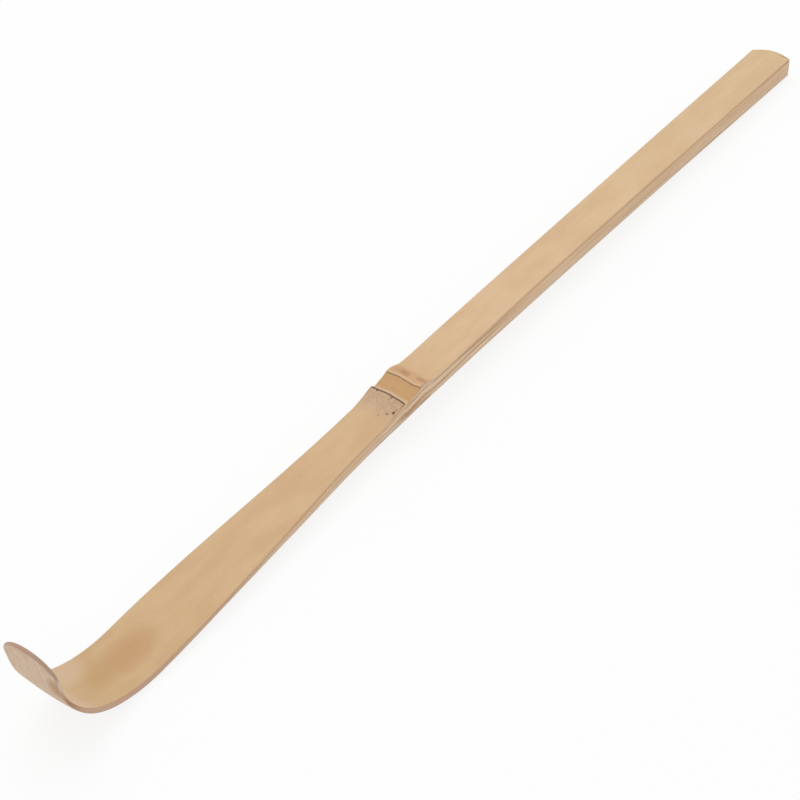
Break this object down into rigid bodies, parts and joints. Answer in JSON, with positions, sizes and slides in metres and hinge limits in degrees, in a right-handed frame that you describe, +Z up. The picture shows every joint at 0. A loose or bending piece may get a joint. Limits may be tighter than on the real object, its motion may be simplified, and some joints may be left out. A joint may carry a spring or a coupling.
{
  "type": "bamboo tea scoop",
  "caption": "Slender bamboo scoop for powdered tea: a thin leaf-shaped tip bent upwards, a carved node with its ridge at mid-length, and a straight handle cut round at its end.",
  "frame": {"origin": "on the surface it lies on, below the middle of the overall length and width", "axes": "+X from the turned-up tip to the handle end, +Y across the scoop, +Z up, skin side above"},
  "size_m": [0.18, 0.0104, 0.0208],
  "materials": {
    "bamboo": "satin bamboo skin, unlacquered"
  },
  "bodies": {
    "root": {"bamboo_scoop": "bamboo"}
  },
  "joints": []
}
